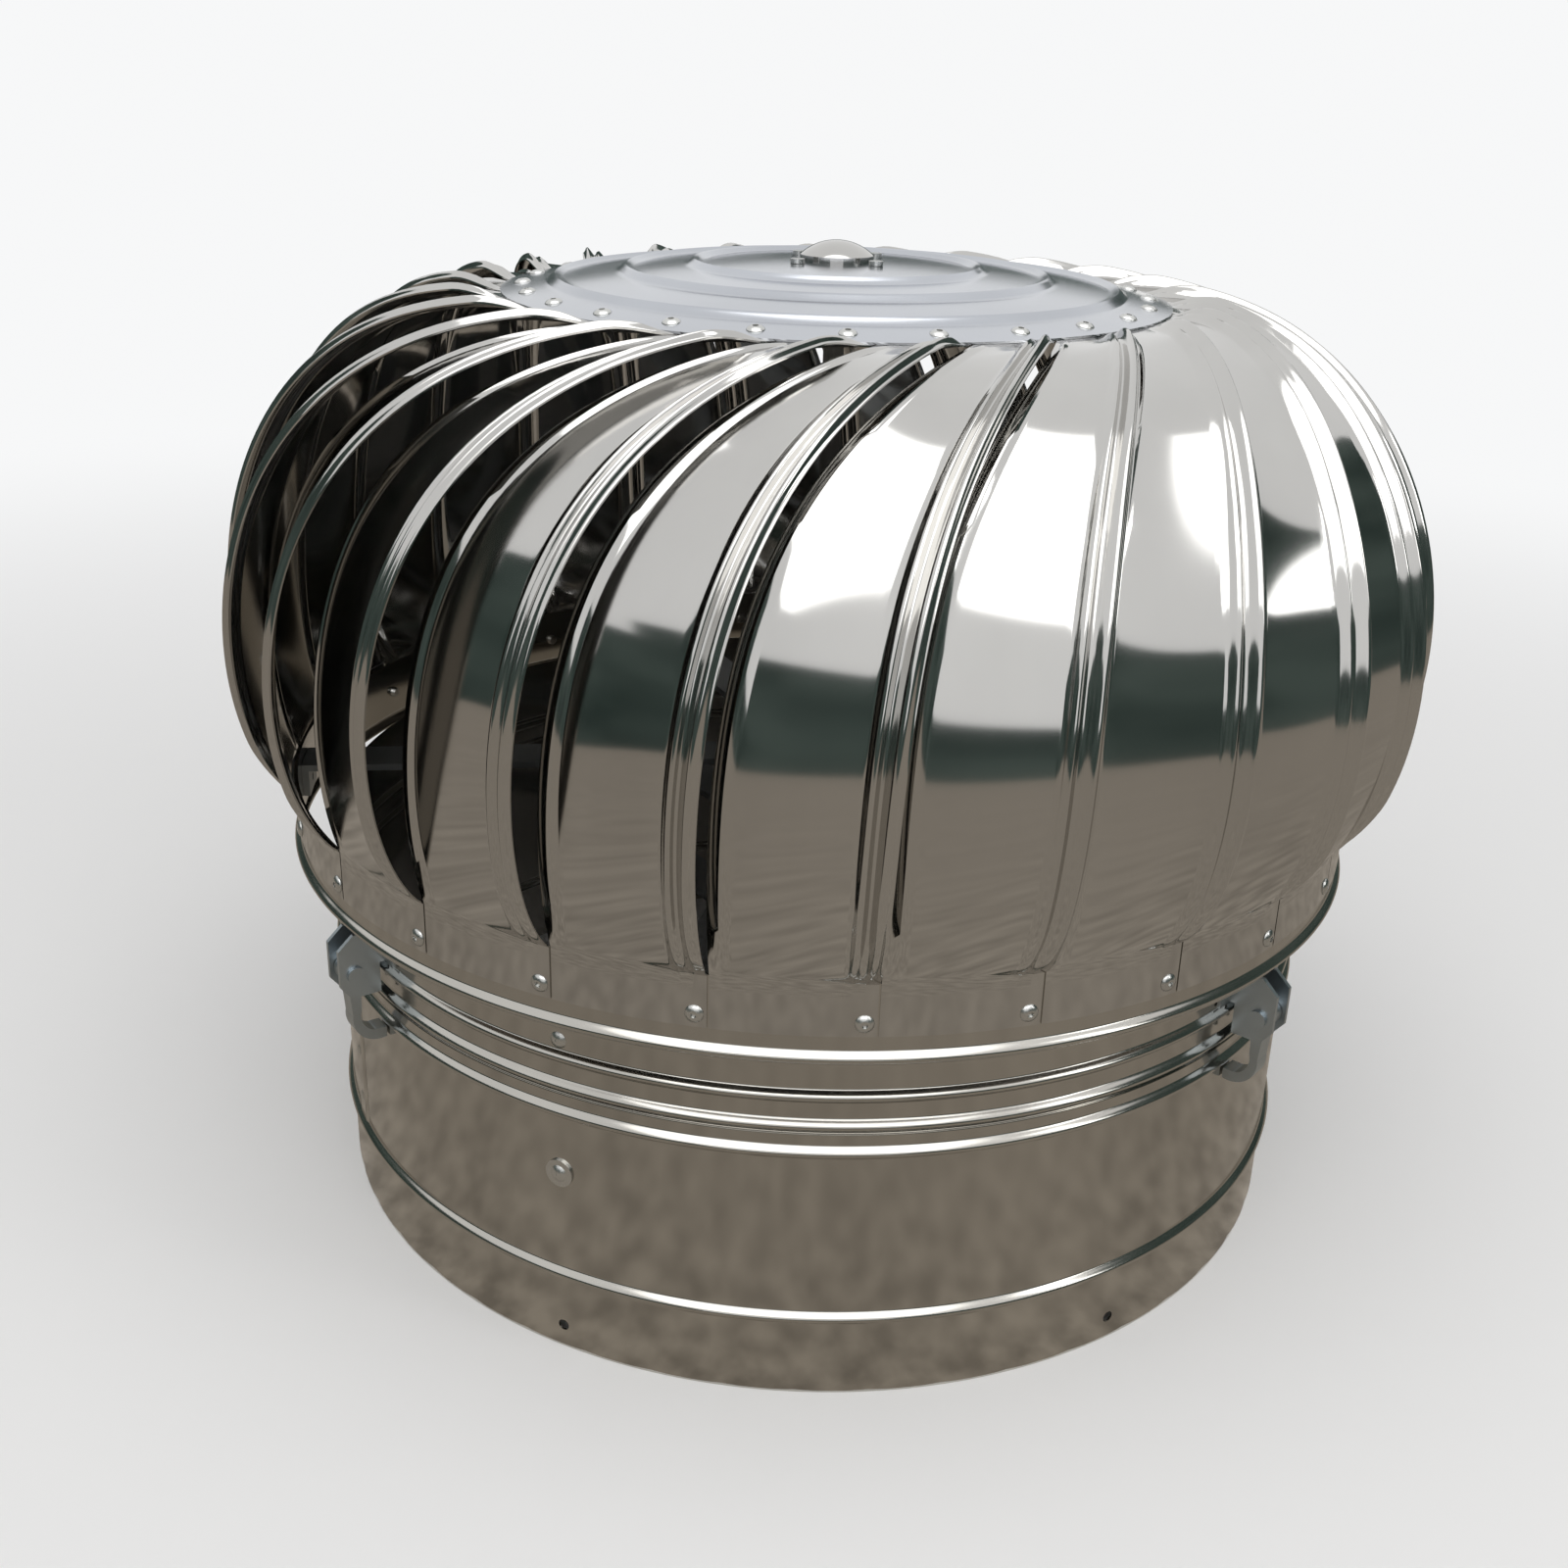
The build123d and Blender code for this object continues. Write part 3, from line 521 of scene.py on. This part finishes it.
# %% Shape of a rivet
# (radius, height over the sheet) in mm, from the mandrel's pit out over the dome and down the shank
RIVET_PROFILE = [(1.4, 0.7), (1.5, 1.95), (1.7, 2.0), (2.6, 1.8), (3.8, 1.2), (4.6, 0.45),
                 (4.8, 0.1), (4.8, 0.0), (2.4, 0.0), (2.4, -2.2), (3.6, -2.2), (2.9, -5.2)]
RIVET_STEPS = 28
RIVET_INSET = 6 * MM
RIVET_ABOVE_TAB = 7 * MM
DISC_RIVET_INSET = 12 * MM


def add_rivet(shape, place):
    rings = []
    for radius, height in RIVET_PROFILE:
        points = []
        for step in range(RIVET_STEPS):
            angle = 2 * math.pi * step / RIVET_STEPS
            point = Vector((radius * math.cos(angle), radius * math.sin(angle), height)) * MM
            points.append(shape.verts.new(place @ point))
        rings.append(points)
    for low, high in zip(rings, rings[1:]):
        for step in range(RIVET_STEPS):
            after = (step + 1) % RIVET_STEPS
            shape.faces.new((low[step], high[step], high[after], low[after]))
    shape.faces.new(rings[0])
    shape.faces.new(list(reversed(rings[-1])))


# %% Rivets of the ring and the disc
vane_rivet_angle = FIRST_EDGE - RIVET_INSET / RING_RADIUS
disc_rivet_radius = RIM_RADIUS - DISC_RIVET_INSET
disc_tilt = math.atan(2 * CROWN_RISE * disc_rivet_radius / RIM_RADIUS ** 2)
disc_rivet_angle = FIRST_EDGE + LEAN - DISC_RIVET_INSET / disc_rivet_radius


def vane_rivets(shape):
    for number in range(VANES):
        angle = vane_rivet_angle + number * PITCH
        add_rivet(shape, radial_place(angle, FACE, TAB_LOW + RIVET_ABOVE_TAB))


def disc_rivets(shape):
    for number in range(VANES):
        place = Matrix.Rotation(disc_rivet_angle + number * PITCH, 4, "Z")
        place = place @ Matrix.Translation((disc_rivet_radius, 0, crown_height(disc_rivet_radius)))
        add_rivet(shape, place @ Matrix.Rotation(disc_tilt, 4, "Y"))


for name, build, node in (("vane_rivet_heads", vane_rivets, "blade_rivets"),
                          ("crown_rivet_heads", disc_rivets, "crown_rivets")):
    rivets = shaped_object(name, build, rivet_metal)
    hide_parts(node)
    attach(rivets, "head")
    print(name, len(rivets.data.polygons), "faces")

# %% [markdown]
# ## Studio
# Mirror steel only looks like steel when it has something to reflect. A large soft lamp is its
# sky, dark flags in a ring are its skyline and a mottled card is its ground. Flags and card are
# seen by reflections alone. The camera sees a pale floor, which keeps the object's shadow.


# %% Helper for flat stage pieces
def stage_plane(name, size, location, rotation, material):
    mesh = bpy.data.meshes.new(name)
    x, y = size[0] / 2, size[1] / 2
    mesh.from_pydata([(-x, -y, 0), (x, -y, 0), (x, y, 0), (-x, y, 0)], [], [(0, 1, 2, 3)])
    mesh.materials.append(material)
    card = bpy.data.objects.new(name, mesh)
    card.location = location
    card.rotation_euler = rotation
    bpy.context.scene.collection.objects.link(card)
    return card


# %% [markdown]
# The floor is pale paint near the object. Further out its material turns into an even glow of
# the air's colour, so that floor and background meet without a horizon.

# %% Floor
AIR = (0.93, 0.935, 0.94)
FLOOR_COLOUR, FLOOR_ROUGHNESS = (0.86, 0.855, 0.85), 0.8
FLOOR_SIZE, GLOW_START, GLOW_FULL = 60, 0.45, 2.4

floor_paint = bpy.data.materials.new("floor_paint")
floor_paint.use_nodes = True
nodes, links = floor_paint.node_tree.nodes, floor_paint.node_tree.links
paint = nodes["Principled BSDF"]
paint.inputs["Base Color"].default_value = (*FLOOR_COLOUR, 1)
paint.inputs["Roughness"].default_value = FLOOR_ROUGHNESS
place = nodes.new("ShaderNodeTexCoord")
away = nodes.new("ShaderNodeVectorMath")
away.operation = "LENGTH"
links.new(place.outputs["Object"], away.inputs[0])
blend = nodes.new("ShaderNodeMapRange")
blend.interpolation_type = "SMOOTHSTEP"
blend.inputs["From Min"].default_value = GLOW_START
blend.inputs["From Max"].default_value = GLOW_FULL
links.new(away.outputs["Value"], blend.inputs["Value"])
glow = nodes.new("ShaderNodeEmission")
glow.inputs["Color"].default_value = (*AIR, 1)
join = nodes.new("ShaderNodeMixShader")
links.new(blend.outputs["Result"], join.inputs["Fac"])
links.new(paint.outputs["BSDF"], join.inputs[1])
links.new(glow.outputs["Emission"], join.inputs[2])
links.new(join.outputs["Shader"], nodes["Material Output"].inputs["Surface"])
stage_plane("studio_floor", (FLOOR_SIZE, FLOOR_SIZE), (0, 0, 0), (0, 0, 0), floor_paint)

# %% [markdown]
# The world is the same pale air to the camera and to mirrors. It lights the object less than it
# shows, so that the lamps can shape it.

# %% World
AIR_LIGHT, AIR_SHOWN = 0.58, 1.0
world = bpy.data.worlds.new("studio_air")
bpy.context.scene.world = world
world.use_nodes = True
nodes, links = world.node_tree.nodes, world.node_tree.links
nodes["Background"].inputs["Color"].default_value = (*AIR, 1)
light_path = nodes.new("ShaderNodeLightPath")
seen = nodes.new("ShaderNodeMath")
seen.operation = "MAXIMUM"
links.new(light_path.outputs["Is Camera Ray"], seen.inputs[0])
links.new(light_path.outputs["Is Glossy Ray"], seen.inputs[1])
level = nodes.new("ShaderNodeMapRange")
level.inputs["To Min"].default_value = AIR_LIGHT
level.inputs["To Max"].default_value = AIR_SHOWN
links.new(seen.outputs["Value"], level.inputs["Value"])
links.new(level.outputs["Result"], nodes["Background"].inputs["Strength"])


# %% Helpers for what the steel reflects
MOTTLE_DETAIL, DIM_AT, LIT_AT = 5.0, 0.35, 0.65


def mirror_only(card):
    """Card that only reflections see: no camera ray, shadow or bounce light meets it."""
    card.visible_camera = False
    card.visible_diffuse = False
    card.visible_shadow = False
    card.visible_transmission = False


def self_lit(name, dim, bright, scale):
    """Emission mottled between two colours."""
    material = bpy.data.materials.new(name)
    material.use_nodes = True
    nodes, links = material.node_tree.nodes, material.node_tree.links
    where = nodes.new("ShaderNodeTexCoord")
    mottle = noise(nodes, scale, MOTTLE_DETAIL)
    links.new(where.outputs["Object"], mottle.inputs["Vector"])
    tone = two_tones(nodes, DIM_AT, dim, LIT_AT, bright)
    links.new(mottle.outputs["Fac"], tone.inputs["Fac"])
    shine = nodes.new("ShaderNodeEmission")
    links.new(tone.outputs["Color"], shine.inputs["Color"])
    links.new(shine.outputs["Emission"], nodes["Material Output"].inputs["Surface"])
    return material


# %% [markdown]
# The flags are dark green-grey, as a far row of trees would be, and taller on the right and
# behind. The ground card is brown-grey and mottled like a yard, and starts at the drum's foot.

# %% Flags
FLAG_DISTANCE, FLAG_WIDTH, HEDGE_SCALE = 2.9, 2.7, 1.6
# height of the flag at each azimuth from the front, in metres and degrees
FLAGS = {0: 0.62, 45: 1.35, 90: 2.5, 135: 1.5, 180: 1.0, 225: 1.2, 270: 1.5, 315: 1.3}
hedge = self_lit("flag_cloth", (0.030, 0.045, 0.040), (0.075, 0.10, 0.09), HEDGE_SCALE)
for azimuth, height in FLAGS.items():
    angle = math.radians(azimuth)
    spot = (FLAG_DISTANCE * math.sin(angle), -FLAG_DISTANCE * math.cos(angle), height / 2)
    flag = stage_plane("flag_%d" % azimuth, (FLAG_WIDTH, height), spot, (math.pi / 2, 0, angle), hedge)
    mirror_only(flag)
print("flags", len(FLAGS))

# %% Ground card
GROUND_LEVEL, GROUND_START, GROUND_END, GROUND_SIDES = 1 * MM, 0.3005, 3.3, 48
GRAVEL_SCALE = 42.0
yard = self_lit("ground_card_paint", (0.22, 0.195, 0.165), (0.37, 0.33, 0.28), GRAVEL_SCALE)
turns = [2 * math.pi * side / GROUND_SIDES for side in range(GROUND_SIDES)]
rim_points = [(radius * math.cos(turn), radius * math.sin(turn), GROUND_LEVEL)
              for radius in (GROUND_START, GROUND_END) for turn in turns]
rim_faces = []
for side in range(GROUND_SIDES):
    after = (side + 1) % GROUND_SIDES
    rim_faces.append((side, after, GROUND_SIDES + after, GROUND_SIDES + side))
ground_mesh = bpy.data.meshes.new("ground_card")
ground_mesh.from_pydata(rim_points, [], rim_faces)
ground_mesh.materials.append(yard)
ground_card = bpy.data.objects.new("ground_card", ground_mesh)
bpy.context.scene.collection.objects.link(ground_card)
mirror_only(ground_card)

# %% [markdown]
# One wide lamp overhead is soft enough for broad highlights on the vanes. A narrow upright one
# at the right draws thin bright lines along the ribs and beads.

# %% Lamps
AIM = Vector((0, 0, 0.3))


def soft_lamp(name, location, size, power):
    data = bpy.data.lights.new(name, "AREA")
    data.shape = "RECTANGLE"
    data.size, data.size_y = size
    data.energy = power
    lamp = bpy.data.objects.new(name, data)
    lamp.location = location
    lamp.rotation_euler = (AIM - Vector(location)).to_track_quat("-Z", "Y").to_euler()
    bpy.context.scene.collection.objects.link(lamp)
    print(name, power, "W")


soft_lamp("overhead_lamp", (0.0, -1.2, 3.0), (3.2, 3.8), 58)
soft_lamp("right_lamp", (2.4, -1.2, 1.9), (0.5, 1.6), 7)

# %% [markdown]
# ## Camera
# The camera looks down on the head from the front, at about the distance of a person standing
# close by. It starts out aimed at the foot of the neck's axis and is then turned a little to the
# side, tipped up and rolled.

# %% Camera
LENS, SENSOR = 40.2, 36.0
DISTANCE, ELEVATION = 1.2255, math.radians(32.3)
YAW, PITCH_UP, ROLL = math.radians(-1.10), math.radians(9.74), math.radians(-1.7)
eye = Vector((0, -DISTANCE * math.cos(ELEVATION), DISTANCE * math.sin(ELEVATION)))
ahead = -eye.normalized()
side = Vector((1, 0, 0))
ahead = (ahead + math.tan(YAW) * side + math.tan(PITCH_UP) * side.cross(ahead)).normalized()
side = ahead.cross(Vector((0, 0, 1))).normalized()
top = side.cross(ahead)
right = math.cos(ROLL) * side - math.sin(ROLL) * top
up = math.sin(ROLL) * side + math.cos(ROLL) * top
camera_data = bpy.data.cameras.new("camera")
camera_data.lens = LENS
camera_data.sensor_width = SENSOR
camera = bpy.data.objects.new("camera", camera_data)
camera.matrix_world = Matrix((right, up, -ahead)).transposed().to_4x4()
camera.location = eye
bpy.context.scene.collection.objects.link(camera)
bpy.context.scene.camera = camera
bpy.context.scene.view_settings.view_transform = "Standard"
print("camera at", tuple(round(v, 3) for v in eye))
